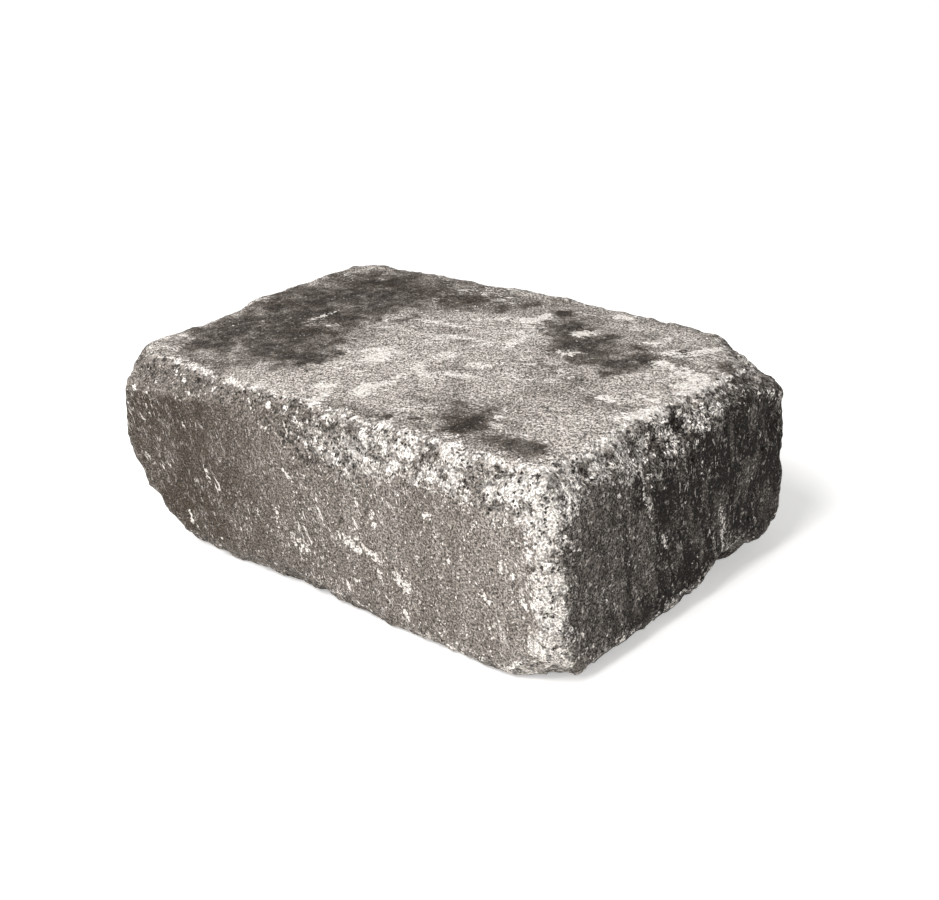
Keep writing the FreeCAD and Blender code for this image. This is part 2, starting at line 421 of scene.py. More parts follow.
def scrape_field(tree, place):
    """A share that is 1 along the middle of a scrape and fades out past its sides."""
    place = bent(tree, place, size=8.0, throw=4.0)
    begins, whole = 1.7, 0.5
    field = 0.0
    for x, y, z, fall, heading, length, width in SCRAPES:
        mark = add(tree, "ShaderNodeVectorMath", {0: place, 1: (x, y, z)}, operation="SUBTRACT")
        turn = (0.0, math.radians(fall), math.radians(heading))
        mark = add(tree, "ShaderNodeVectorRotate", {"Vector": mark, "Rotation": turn},
                   rotation_type="EULER_XYZ", invert=True)
        mark = add(tree, "ShaderNodeVectorMath", {0: mark, 1: (length / 2, width / 2, width / 2)},
                   operation="DIVIDE")
        away = add(tree, "ShaderNodeVectorMath", {0: mark}, operation="LENGTH")
        mark = add(tree, "ShaderNodeMapRange", {
            "Value": away.node.outputs["Value"], "From Min": begins, "From Max": whole,
        }, interpolation_type="SMOOTHSTEP")
        field = add(tree, "ShaderNodeMath", {0: field, 1: mark}, operation="MAXIMUM")
    return field


def relief_inputs():
    """The names of the relief's sizes, which the tree's inputs share."""
    return [name for name in WallBlockRelief.__annotations__ if name != "mesh_grain"]


def relief_tree(material):
    """A tree that roughens a dense mesh of the block and keeps what the finish needs.

    It works in millimetres. The relief is measured along the normal, outwards, and is
    held inside the box of the pressed cuboid, so nothing stands out from its faces.
    """
    tree = bpy.data.node_groups.new("tumbled_relief", "GeometryNodeTree")
    tree.interface.new_socket("Geometry", in_out="INPUT", socket_type="NodeSocketGeometry")
    tree.interface.new_socket("Geometry", in_out="OUTPUT", socket_type="NodeSocketGeometry")
    for name in relief_inputs():
        kind = "NodeSocketInt" if name == "wear_blur" else "NodeSocketFloat"
        tree.interface.new_socket(name, in_out="INPUT", socket_type=kind)
    given = tree.nodes.new("NodeGroupInput")
    size = {}
    for name in relief_inputs():
        size[name] = given.outputs[name]
        if name != "wear_blur":
            size[name] = product(tree, given.outputs[name], 1 / MM)

    # Steps of the means over neighbours: the more, the wider.
    facing_blur, rim_blur, proud_blur = 20, 54, 8

    position = add(tree, "GeometryNodeInputPosition")
    normal = add(tree, "GeometryNodeInputNormal")
    place = add(tree, "ShaderNodeVectorMath", {0: position, "Scale": 1 / MM}, operation="SCALE")

    # How deep a point lies under the nearest side of the pressed cuboid: nothing on a
    # pressed face and some millimetres on a broken arris.
    middle = (LOW + HIGH) / 2 / MM
    half = (HIGH - LOW) / 2 / MM
    centred = add(tree, "ShaderNodeVectorMath", {0: place, 1: middle}, operation="SUBTRACT")
    spread = add(tree, "ShaderNodeVectorMath", {0: centred}, operation="ABSOLUTE")
    under = add(tree, "ShaderNodeVectorMath", {0: half, 1: spread}, operation="SUBTRACT")
    sides = add(tree, "ShaderNodeSeparateXYZ", {0: under}).node.outputs
    across = add(tree, "ShaderNodeMath", {0: sides[0], 1: sides[1]}, operation="MINIMUM")
    depth = add(tree, "ShaderNodeMath", {0: across, 1: sides[2]}, operation="MINIMUM")
    still_pressed, wholly_broken = 0.15, 0.6
    broken = add(tree, "ShaderNodeMapRange", {
        "Value": depth, "From Min": still_pressed, "From Max": wholly_broken})
    wear = add(tree, "GeometryNodeBlurAttribute", {
        "Value": broken, "Iterations": size["wear_blur"],
    }, data_type="FLOAT")
    facing = add(tree, "GeometryNodeBlurAttribute", {"Value": normal, "Iterations": facing_blur},
                 data_type="FLOAT_VECTOR")

    # How far the smooth solid's rims stand out from a mean over some millimetres.
    even = add(tree, "GeometryNodeBlurAttribute", {"Value": place, "Iterations": rim_blur},
               data_type="FLOAT_VECTOR")
    even = add(tree, "ShaderNodeVectorMath", {0: place, 1: even}, operation="SUBTRACT")
    rim = add(tree, "ShaderNodeVectorMath", {0: even, 1: normal}, operation="DOT_PRODUCT")
    rim = rim.node.outputs["Value"]

    lumps = drift(tree, place, size["lump_size"], (0.2, 0.8))
    swell = add(tree, "ShaderNodeMath", {0: lumps, 1: 0.5}, operation="SUBTRACT")
    chips = grains(tree, place, size["chip_size"], 0.55, 0.4, shift=31.0)
    grit = grains(tree, place, size["grit_size"], 0.62, 0.7, shift=7.0)
    bared = drift(tree, place, (13.0, 13.0, 13.0), (0.38, 0.6), shift=53.0)
    pits = grains(tree, place, size["pit_size"], 0.2, 0.3, shift=3.0)
    wave = drift(tree, place, (38.0, 38.0, 38.0), (0.3, 0.7), shift=17.0)

    parts = [
        product(tree, swell, size["lump_height"], wear),
        product(tree, chips, size["chip_depth"], wear, -1.0),
        product(tree, grit, size["grit_height"], wear, bared),
        product(tree, pits, size["pit_depth"], -1.0),
        product(tree, wave, size["face_wave"], -1.0),
    ]
    for x, y, z, reach, dent_depth in DENTS:
        away = add(tree, "ShaderNodeVectorMath", {0: place, 1: (x, y, z)}, operation="DISTANCE")
        bowl = add(tree, "ShaderNodeMapRange", {
            "Value": away.node.outputs["Value"], "From Min": reach, "From Max": reach * 0.3,
        }, interpolation_type="SMOOTHSTEP")
        parts.append(product(tree, bowl, -dent_depth))
    relief = parts[0]
    for part in parts[1:]:
        relief = add(tree, "ShaderNodeMath", {0: relief, 1: part}, operation="ADD")

    shift = add(tree, "ShaderNodeVectorMath", {0: facing}, operation="NORMALIZE")
    shift = add(tree, "ShaderNodeVectorMath", {0: shift, "Scale": product(tree, relief, MM)},
                operation="SCALE")
    moved = add(tree, "ShaderNodeVectorMath", {0: position, 1: shift}, operation="ADD")
    hair = Vector((0.003, 0.003, 0.003)) * MM
    moved = add(tree, "ShaderNodeVectorMath", {0: moved, 1: LOW + hair}, operation="MAXIMUM")
    moved = add(tree, "ShaderNodeVectorMath", {0: moved, 1: HIGH - hair}, operation="MINIMUM")

    stains = [(x, y, TOP, reach, strength) for x, y, reach, strength in STAINS]
    mesh = given.outputs["Geometry"]
    for name, kind, value in (("pressed_place", "FLOAT_VECTOR", place), ("wear", "FLOAT", wear),
                              ("facing", "FLOAT_VECTOR", facing), ("rim", "FLOAT", rim),
                              ("stain", "FLOAT", patch_field(tree, place, stains)),
                              ("crust", "FLOAT", patch_field(tree, place, CRUST)),
                              ("scrape", "FLOAT", scrape_field(tree, place))):
        mesh = add(tree, "GeometryNodeStoreNamedAttribute", {0: mesh, "Name": name, "Value": value},
                   data_type=kind, domain="POINT")
    mesh = add(tree, "GeometryNodeSetPosition", {0: mesh, "Position": moved})

    # How far a point stands proud of the mean of its neighbourhood, in millimetres.
    mean = add(tree, "GeometryNodeBlurAttribute", {"Value": place, "Iterations": proud_blur},
               data_type="FLOAT_VECTOR")
    rise = add(tree, "ShaderNodeVectorMath", {0: place, 1: mean}, operation="SUBTRACT")
    proud = add(tree, "ShaderNodeVectorMath", {0: rise, 1: normal}, operation="DOT_PRODUCT")
    mesh = add(tree, "GeometryNodeStoreNamedAttribute", {
        0: mesh, "Name": "proud", "Value": proud.node.outputs["Value"],
    }, data_type="FLOAT", domain="POINT")
    mesh = add(tree, "GeometryNodeSetShadeSmooth", {0: mesh})
    mesh = add(tree, "GeometryNodeRealizeInstances", {0: mesh})
    mesh = add(tree, "GeometryNodeSetMaterial", {0: mesh, "Material": material})
    tree.links.new(mesh, tree.nodes.new("NodeGroupOutput").inputs["Geometry"])
    return tree


def surface(tree):
    """What the mesh keeps of each point, where that lies and which way it faces."""
    on = SimpleNamespace()
    for name in ("pressed_place", "facing", "wear", "rim", "proud", "stain", "scrape", "crust"):
        node = tree.nodes.new("ShaderNodeAttribute")
        node.attribute_name = name
        output = "Vector" if name in ("pressed_place", "facing") else "Fac"
        setattr(on, name, node.outputs[output])
    on.place = on.pressed_place
    on.x, on.y, _ = add(tree, "ShaderNodeSeparateXYZ", {0: on.place}).node.outputs
    on.to_x, _, on.to_z = add(tree, "ShaderNodeSeparateXYZ", {0: on.facing}).node.outputs

    on.top = add(tree, "ShaderNodeMapRange", {
        "Value": on.to_z, "From Min": 0.6, "From Max": 0.9}, interpolation_type="SMOOTHSTEP")
    slope = add(tree, "ShaderNodeMath", {0: on.to_z}, operation="ABSOLUTE")
    on.upright = add(tree, "ShaderNodeMapRange", {
        "Value": slope, "From Min": 0.5, "From Max": 0.2}, interpolation_type="SMOOTHSTEP")
    on.right_end = add(tree, "ShaderNodeMapRange", {
        "Value": on.to_x, "From Min": 0.6, "From Max": 0.92}, interpolation_type="SMOOTHSTEP")
    on.left_end = add(tree, "ShaderNodeMapRange", {
        "Value": on.to_x, "From Min": -0.6, "From Max": -0.92}, interpolation_type="SMOOTHSTEP")

    # Worn where the arris is broken, with a ragged border.
    border = drift(tree, on.place, (3.4, 3.4, 3.4), (0.3, 0.7), detail=5.0)
    border = add(tree, "ShaderNodeMath", {0: border, 1: 0.5}, operation="SUBTRACT")
    on.ragged = add(tree, "ShaderNodeMath", {0: on.wear, 1: border}, operation="ADD")
    on.worn = add(tree, "ShaderNodeMapRange", {
        "Value": on.ragged, "From Min": 0.35, "From Max": 0.9}, interpolation_type="SMOOTHSTEP")
    return on


def soil(tree, on):
    """Adds the blots of the top bed, the soiled ends with painted shade on the right one, and the
    paler and darker patches.
    """
    # The stains have torn edges, and are mottled inside.
    torn_edge = drift(tree, on.place, (9.0, 9.0, 9.0), (0.25, 0.75), detail=6.0, wander=0.4,
                      shift=5.0)
    stain = add(tree, "ShaderNodeMath", {0: on.stain, 1: product(tree, torn_edge, 0.5)},
                operation="SUBTRACT")
    soiled = add(tree, "ShaderNodeMapRange", {
        "Value": stain, "From Min": -0.06, "From Max": 0.46}, interpolation_type="SMOOTHSTEP")
    mottle = drift(tree, on.place, (4.0, 5.0, 4.0), (0.3, 0.6), detail=5.0, wander=0.6, shift=7.0)
    mottle = add(tree, "ShaderNodeMapRange", {"Value": mottle, "To Min": 0.7, "To Max": 1.0})
    on.soiled = product(tree, soiled, mottle)
    on.deep = add(tree, "ShaderNodeMapRange", {
        "Value": stain, "From Min": 0.36, "From Max": 0.76}, interpolation_type="SMOOTHSTEP")

    # Dust lies in the middle of the top bed, and soil along its back.
    on.broad = drift(tree, on.place, (48.0, 34.0, 40.0), (0.36, 0.66), detail=3.0, shift=11.0)
    on.dusty = product(tree, on.top, drift(
        tree, on.place, (60.0, 34.0, 30.0), (0.3, 0.55), detail=4.0, wander=0.4, shift=23.0))
    on.streaks = product(tree, on.top, drift(
        tree, on.place, (8.0, 5.0, 6.0), (0.5, 0.68), turn=(0.0, 0.0, 0.35), detail=5.0,
        wander=0.8, shift=103.0))
    to_back = add(tree, "ShaderNodeMapRange", {
        "Value": on.y, "From Min": 30.0, "From Max": 84.0, "To Max": 0.8},
        interpolation_type="SMOOTHSTEP")
    on.back_soil = product(tree, on.top, to_back, drift(
        tree, on.place, (18.0, 12.0, 18.0), (0.3, 0.6), detail=5.0, wander=0.4, shift=131.0))

    # Soil runs down the sides. The right end is darkened with soil and with painted shade, darkest
    # away from the front, and the front with soil towards the left.
    on.runs = product(tree, on.upright, drift(
        tree, on.place, (7.0, 7.0, 50.0), (0.42, 0.7), detail=4.0, wander=0.3, shift=37.0))
    from_front = add(tree, "ShaderNodeMapRange", {
        "Value": on.y, "From Min": -78.0, "From Max": 0.0, "To Min": 0.64, "To Max": 1.24},
        interpolation_type="SMOOTHSTEP")
    ends = add(tree, "ShaderNodeMath", {
        0: product(tree, on.right_end, from_front), 1: product(tree, on.left_end, 0.5)},
        operation="ADD")
    uneven = drift(tree, on.place, (8.0, 8.0, 22.0), (0.36, 0.6), detail=6.0, wander=0.6,
                   shift=41.0)
    uneven = add(tree, "ShaderNodeMapRange", {"Value": uneven, "To Min": 0.5, "To Max": 1.0})
    # The dark of the ends is soil, and on the right end painted shade as well.
    on.end_soil = product(tree, ends, uneven)
    to_left = add(tree, "ShaderNodeMapRange", {
        "Value": on.x, "From Min": 30.0, "From Max": -75.0}, interpolation_type="SMOOTHSTEP")
    blotchy = drift(tree, on.place, (14.0, 14.0, 24.0), (0.2, 0.6), detail=4.0, shift=59.0)
    blotchy = add(tree, "ShaderNodeMapRange", {"Value": blotchy, "To Min": 0.5, "To Max": 0.9})
    on.front_soil = product(tree, on.upright, to_left, blotchy)
    on.smudges = product(tree, on.upright, drift(
        tree, on.place, (3.2, 3.2, 5.0), (0.55, 0.68), detail=5.0, turn=STEEP, wander=1.0,
        shift=113.0))


def scuff(tree, on):
    """Adds white scuffs, along the length on the beds and steeply down on the sides."""
    # The scrapes in known places are chalky, with crisp ragged edges.
    torn = drift(tree, on.place, (2.2, 1.5, 1.6), (0.34, 0.66), turn=(0.0, 0.0, 0.3), detail=5.0,
                 wander=0.9, shift=91.0)
    torn = add(tree, "ShaderNodeMath", {0: torn, 1: on.scrape}, operation="ADD")
    scraped = add(tree, "ShaderNodeMapRange", {
        "Value": torn, "From Min": 1.03, "From Max": 1.15}, interpolation_type="SMOOTHSTEP")

    # The others come in patches, and soil covers those of the bed.
    along = drift(tree, on.place, (8.0, 3.6, 6.0), (0.585, 0.62), turn=(0.0, 0.0, 0.3),
                  detail=5.0, wander=1.4, shift=61.0)
    curls = drift(tree, on.place, (3.6, 2.8, 2.0), (0.6, 0.64), detail=4.0, wander=2.0,
                  shift=79.0)
    curls = add(tree, "ShaderNodeMath", {0: along, 1: curls}, operation="MAXIMUM")
    bed_patches = drift(tree, on.place, (26.0, 18.0, 26.0), (0.46, 0.6), shift=71.0)
    on.clean = add(tree, "ShaderNodeMapRange", {
        "Value": on.soiled, "From Min": 0.9, "From Max": 0.3})
    on_bed = product(tree, curls, bed_patches, on.top, on.clean)
    down = drift(tree, on.place, (1.9, 1.9, 5.5), (0.6, 0.68), turn=STEEP, detail=4.0,
                 wander=1.0, shift=83.0)
    side_patches = drift(tree, on.place, (24.0, 24.0, 24.0), (0.4, 0.6), shift=97.0)
    fewer = add(tree, "ShaderNodeMapRange", {
        "Value": on.right_end, "To Min": 1.0, "To Max": 0.6})
    on_sides = product(tree, down, side_patches, on.upright, fewer)
    scuffs = add(tree, "ShaderNodeMath", {0: on_bed, 1: on_sides}, operation="MAXIMUM")
    on.scuffs = add(tree, "ShaderNodeMath", {0: scuffs, 1: scraped}, operation="MAXIMUM")


def lime(tree, on):
    """Adds the lime crust, thick towards the right front corner and thin elsewhere."""
    # The gravel of the arrises is bare towards the right, and skinned over at the left.
    on.bare = add(tree, "ShaderNodeMapRange", {
        "Value": on.x, "From Min": -55.0, "From Max": 5.0, "To Min": 0.2},
        interpolation_type="SMOOTHSTEP")
    to_right = add(tree, "ShaderNodeMapRange", {
        "Value": on.x, "From Min": -12.0, "From Max": 44.0, "To Min": 0.1},
        interpolation_type="SMOOTHSTEP")
    to_front = add(tree, "ShaderNodeMapRange", {
        "Value": on.y, "From Min": 45.0, "From Max": -25.0, "To Min": 0.2},
        interpolation_type="SMOOTHSTEP")

    # The upright between the front and the right end is the whitest.
    upright_middle = (RIGHT, FRONT, 50.0)
    away = add(tree, "ShaderNodeVectorMath", {0: on.place, 1: upright_middle},
               operation="SUBTRACT")
    away = add(tree, "ShaderNodeVectorMath", {0: away, 1: (1.0, 1.0, 0.2)}, operation="MULTIPLY")
    away = add(tree, "ShaderNodeVectorMath", {0: away}, operation="LENGTH").node.outputs["Value"]
    near = add(tree, "ShaderNodeMapRange", {
        "Value": away, "From Min": 27.0, "From Max": 9.0, "To Max": 0.95},
        interpolation_type="SMOOTHSTEP")
    crust = drift(tree, on.place, (13.0, 13.0, 13.0), (0.34, 0.6), detail=3.0, shift=67.0)
    crust = add(tree, "ShaderNodeMath", {0: crust, 1: near}, operation="MAXIMUM")
    limed = product(tree, on.worn, crust, to_right, to_front)
    rubbed = add(tree, "ShaderNodeMapRange", {
        "Value": on.ragged, "From Min": 0.1, "From Max": 0.5})
    off_end = add(tree, "ShaderNodeMapRange", {
        "Value": on.to_x, "From Min": 0.86, "From Max": 0.78})
    limed = add(tree, "ShaderNodeMath", {0: limed, 1: product(tree, rubbed, off_end, near)},
                operation="MAXIMUM")

    # It follows the rims of the broken arrises, above all the one round the top bed.
    top_rim = product(
        tree,
        add(tree, "ShaderNodeMapRange", {"Value": on.to_z, "From Min": 0.985, "From Max": 0.94}),
        add(tree, "ShaderNodeMapRange", {"Value": on.to_z, "From Min": 0.74, "From Max": 0.84}))
    rim = add(tree, "ShaderNodeMapRange", {
        "Value": on.rim, "From Min": 0.45, "From Max": 1.1}, interpolation_type="SMOOTHSTEP")
    rim = add(tree, "ShaderNodeMath", {0: product(tree, rim, on.bare), 1: top_rim},
              operation="MAXIMUM")
    off_back = add(tree, "ShaderNodeMapRange", {
        "Value": on.y, "From Min": 75.0, "From Max": 0.0, "To Min": 0.35})
    rim = product(tree, rim, drift(
        tree, on.place, (7.0, 7.0, 7.0), (0.42, 0.54), detail=4.0, shift=73.0), off_back)
    limed = add(tree, "ShaderNodeMath", {0: limed, 1: product(tree, rim, 0.85)},
                operation="MAXIMUM")

    # Some is spilt on the top bed, beside its front and its right arris.
    to_end = add(tree, "ShaderNodeMath", {0: RIGHT, 1: on.x}, operation="SUBTRACT")
    to_face = add(tree, "ShaderNodeMath", {0: on.y, 1: FRONT}, operation="SUBTRACT")
    spilt = add(tree, "ShaderNodeMath", {0: to_end, 1: to_face}, operation="MINIMUM")
    spilt = add(tree, "ShaderNodeMapRange", {"Value": spilt, "From Min": 14.0, "From Max": 4.0})
    spilt = product(tree, spilt, on.top, on.clean, to_right, to_front, drift(
        tree, on.place, (9.0, 5.0, 9.0), (0.34, 0.6), detail=4.0, wander=0.4, shift=101.0))
    limed = add(tree, "ShaderNodeMath", {0: limed, 1: product(tree, spilt, 0.8)},
                operation="MAXIMUM")

    # It comes in clumps, thick in known places, and the gravel between them is sooty.
    clump = drift(tree, on.place, (9.0, 9.0, 9.0), (0.42, 0.56), detail=4.0, wander=0.4,
                  shift=107.0)
    on.sooty = add(tree, "ShaderNodeMath", {0: 1.0, 1: clump}, operation="SUBTRACT")
    placed = product(tree, on.crust, add(tree, "ShaderNodeMapRange", {
        "Value": clump, "To Min": 0.7, "To Max": 1.3}))
    clump = add(tree, "ShaderNodeMapRange", {"Value": clump, "To Min": 0.1, "To Max": 0.8})
    clump = add(tree, "ShaderNodeMath", {0: clump, 1: placed}, operation="MAXIMUM")
    on.limed = add(tree, "ShaderNodeMath", {0: limed, 1: clump}, operation="MULTIPLY",
                   use_clamp=True)

    # Chalky dust lies on the front beside the upright.
    beside = add(tree, "ShaderNodeMapRange", {
        "Value": away, "From Min": 58.0, "From Max": 14.0}, interpolation_type="SMOOTHSTEP")
    chalk = drift(tree, on.place, (8.0, 8.0, 12.0), (0.4, 0.6), detail=4.0, shift=127.0)
    on.chalk = product(tree, beside, chalk, add(tree, "ShaderNodeMapRange", {
        "Value": on.to_x, "From Min": 0.86, "From Max": 0.7}))


def gravel(tree, on):
    """Adds the stones of the crushed arrises, the painted shade in their gaps, pits and hollows,
    and the lime on them.

    Each stone has a tone of its own. Lime whitens most of them where it is thick, and its
    flour lies between.
    """
    stone_size = 3.0
    jolt = add(tree, "ShaderNodeTexNoise", {"Vector": on.place, "Scale": 0.6, "Detail": 3.0})
    jolt = add(tree, "ShaderNodeVectorMath", {0: jolt.node.outputs["Color"], "Scale": 3.0},
               operation="SCALE")
    crooked = add(tree, "ShaderNodeVectorMath", {0: on.place, 1: jolt}, operation="ADD")
    stones = add(tree, "ShaderNodeTexVoronoi", {"Vector": crooked, "Scale": 1 / stone_size})
    on.tone = add(tree, "ShaderNodeSeparateXYZ", {0: stones.node.outputs["Color"]})
    on.domes = add(tree, "ShaderNodeMapRange", {
        "Value": stones, "From Min": 0.7, "From Max": 0.1}, interpolation_type="SMOOTHSTEP")
    # The gaps between the stones get painted shade.
    on.gaps = add(tree, "ShaderNodeMapRange", {
        "Value": stones, "From Min": 0.5, "From Max": 0.8}, interpolation_type="SMOOTHSTEP")
    on.white_stone = grains(tree, crooked, (3.2, 3.2, 3.2), 0.62, product(tree, on.limed, 0.95),
                            core=0.75)
    on.white_grit = grains(tree, crooked, (1.5, 1.5, 1.5), 0.6, product(tree, on.limed, 0.6),
                           shift=19.0, core=0.7)
    on.pale_stone = grains(tree, crooked, (2.0, 2.0, 2.0), 0.5,
                           product(tree, on.worn, on.bare, 0.3), shift=5.0, core=0.7)
    # Painted shade in pits among the bare stones.
    on.pit = grains(tree, crooked, (1.6, 1.6, 1.6), 0.48, product(tree, on.worn, on.bare, 0.4),
                    shift=37.0, core=0.6)
    # Painted shade in pits of the worn band just under the rim of the top bed.
    under_rim = product(
        tree,
        add(tree, "ShaderNodeMapRange", {"Value": on.to_z, "From Min": 0.9, "From Max": 0.8}),
        add(tree, "ShaderNodeMapRange", {"Value": on.to_z, "From Min": 0.6, "From Max": 0.72}),
        on.worn)
    on.rim_pit = grains(tree, crooked, (2.6, 2.6, 2.6), 0.55, product(tree, under_rim, 0.8),
                        shift=47.0, core=0.5)
    on.flour = drift(tree, on.place, (3.0, 3.0, 3.0), (0.36, 0.5), detail=4.0, shift=19.0)
    on.high = add(tree, "ShaderNodeMapRange", {
        "Value": on.proud, "From Min": 0.02, "From Max": 0.18})
    # The hollows get painted shade.
    on.low = add(tree, "ShaderNodeMapRange", {
        "Value": on.proud, "From Min": -0.04, "From Max": -0.3})


def concrete(colours):
    """Tumbled dry-cast concrete.

    Stiff concrete pressed in a mould has matt sandy faces with open pores. Tumbling crushes
    the arrises, which lays pale and dark gravel bare there, and rubs white lime dust over
    all that stands proud. Soil darkens the top bed in blots and the end in runs, and painted
    shade darkens the right end further and lies in the pores, gaps, pits and hollows.
    """
    material = bpy.data.materials.new("tumbled_dry_cast_concrete")
    material.use_nodes = True
    tree = material.node_tree
    shader = tree.nodes["Principled BSDF"]
    on = surface(tree)
    soil(tree, on)
    scuff(tree, on)
    lime(tree, on)
    gravel(tree, on)

    # Sand and pores are under a millimetre. The sand is drawn at about that, so that it just
    # shows, and longer from front to back on the bed, where it is seen at a slant. White
    # sand and pores are drawn coarser, so that they show.
    sand = drift(tree, on.place, (0.8, 0.8, 0.8), (0.38, 0.62))
    bed_sand = drift(tree, on.place, (0.8, 1.5, 0.8), (0.38, 0.62), turn=(0.0, 0.0, 0.76))
    sand = add(tree, "ShaderNodeMix", {"Factor": on.top, "A": sand, "B": bed_sand},
               data_type="FLOAT")
    white_sand = drift(tree, on.place, (1.5, 1.5, 1.5), (0.6, 0.66), detail=4.0, wander=0.5,
                       shift=13.0)
    # The pores are painted dark as painted shade, and the bump presses them in a little.
    shaded_pores = drift(tree, on.place, (1.3, 1.3, 1.3), (0.57, 0.64), detail=3.0, wander=0.5,
                  shift=29.0)
    unfilled = add(tree, "ShaderNodeMapRange", {
        "Value": on.scuffs, "To Min": 0.7, "To Max": 0.3})
    # The white sand is fainter under soil, and under the painted shade of the right end.
    dirt_and_shade = add(tree, "ShaderNodeMath", {0: on.front_soil, 1: on.end_soil}, operation="MAXIMUM")
    dirt_and_shade = add(tree, "ShaderNodeMath", {0: dirt_and_shade, 1: product(tree, on.soiled, 0.9)},
               operation="MAXIMUM")
    washed = add(tree, "ShaderNodeMapRange", {"Value": dirt_and_shade, "To Min": 1.0, "To Max": 0.2})

    # What lies on the body, from the lowest coat up, each with the shares that thin it. The near
    # black is painted shade in the pores, gaps, pits and hollows, soil and painted shade on the
    # right end, and stain in the cores of the stains.
    coats = (
        ("shade", on.broad, 0.55),
        ("dust", on.dusty, 0.92),
        ("stain", on.streaks, 0.34),
        ("stain", on.back_soil, 0.7),
        ("dust", on.runs, 0.2),
        ("stain", on.front_soil),
        ("stain", on.soiled, 0.88),
        ("pore", on.deep, 0.68),
        # Soil on the ends, and painted shade on the right one.
        ("pore", on.end_soil),
        ("dust", on.smudges, 0.32),
        ("dust", on.chalk, 0.26),
        ("lime", on.scuffs, 0.96),
        ("lime", white_sand, washed, 0.6),
        # Painted shade in the pores.
        ("pore", shaded_pores, unfilled),
        ("shade", on.worn, on.tone, 0.4),
        ("stain", on.worn, on.bare, on.sooty, 0.35),
        ("lime", on.limed, on.flour, 0.95),
        ("lime", on.pale_stone, 0.6),
        ("lime", on.white_grit, 0.85),
        ("lime", on.white_stone, 0.95),
        ("lime", on.limed, on.high, 0.4),
        # Painted shade in the gaps, hollows and pits of the worn arrises.
        ("pore", on.worn, on.bare, on.gaps, 0.52),
        ("pore", on.worn, on.low, 0.6),
        ("pore", on.pit, 0.95),
        ("pore", on.rim_pit, 0.85),
    )
    colour = tuple(colours.body)
    for coat, *shares in coats:
        colour = add(tree, "ShaderNodeMix", {
            "Factor": product(tree, *shares), "A": colour, "B": tuple(getattr(colours, coat)),
        }, data_type="RGBA")

    # The sand lightens and darkens it, more or less strongly from finish to finish.
    contrast = 0.58
    for share, change in ((on.soiled, -0.22), (on.end_soil, 0.34), (on.limed, -0.12),
                          (on.scuffs, -0.38), (on.back_soil, -0.2)):
        contrast = add(tree, "ShaderNodeMath", {0: share, 1: change, 2: contrast},
                       operation="MULTIPLY_ADD")
    speckle = add(tree, "ShaderNodeMath", {0: sand, 1: 0.5}, operation="SUBTRACT")
    speckle = add(tree, "ShaderNodeMath", {0: product(tree, speckle, 2.0), 1: contrast, 2: 1.0},
                  operation="MULTIPLY_ADD")
    colour = add(tree, "ShaderNodeVectorMath", {0: colour, "Scale": speckle}, operation="SCALE")
    tree.links.new(colour, shader.inputs["Base Color"])
    shader.inputs["Roughness"].default_value = 0.92
    shader.inputs["Specular IOR Level"].default_value = 0.3

    # How far the sand, the pores and the stones stand up, in millimetres.
    height = 0.0
    for shape, size in ((sand, 0.18), (shaded_pores, -0.35), (product(tree, on.wear, on.domes), 0.6)):
        height = add(tree, "ShaderNodeMath", {0: shape, 1: size * MM, 2: height},
                     operation="MULTIPLY_ADD")
    bump = add(tree, "ShaderNodeBump", {"Height": height, "Distance": 1.0, "Strength": 1.0})
    tree.links.new(bump, shader.inputs["Normal"])
    return material


def pale_floor(colours):
    """A matt painted floor that fades to plain white where the camera sees it."""
    material = bpy.data.materials.new("matt_white_floor_paint")
    material.use_nodes = True
    tree = material.node_tree
    shader = tree.nodes["Principled BSDF"]
    shader.inputs["Base Color"].default_value = colours.floor
    shader.inputs["Roughness"].default_value = 0.9
    shader.inputs["Specular IOR Level"].default_value = 0.2
    seen = tree.nodes.new("ShaderNodeLightPath").outputs
    rays = seen["Is Camera Ray"]
    for kind in ("Is Glossy Ray", "Is Transmission Ray"):
        rays = add(tree, "ShaderNodeMath", {0: rays, 1: seen[kind]}, operation="MAXIMUM")

    # It glows more where it is further off, as less of the lamp's light reaches it there.
    near, far = 0.9, 1.9
    near_glow, far_glow = 0.45, 0.62
    place = add(tree, "ShaderNodeTexCoord").node.outputs["Object"]
    away = add(tree, "ShaderNodeVectorMath", {0: place}, operation="LENGTH").node.outputs["Value"]
    glow = add(tree, "ShaderNodeMapRange", {
        "Value": away, "From Min": near, "From Max": far, "To Min": near_glow,
        "To Max": far_glow})
    glow = add(tree, "ShaderNodeEmission", {
        "Color": (1.0, 1.0, 1.0, 1.0), "Strength": product(tree, rays, glow)})
    both = add(tree, "ShaderNodeAddShader", {0: shader.outputs[0], 1: glow})
    tree.links.new(both, tree.nodes["Material Output"].inputs["Surface"])
    return material


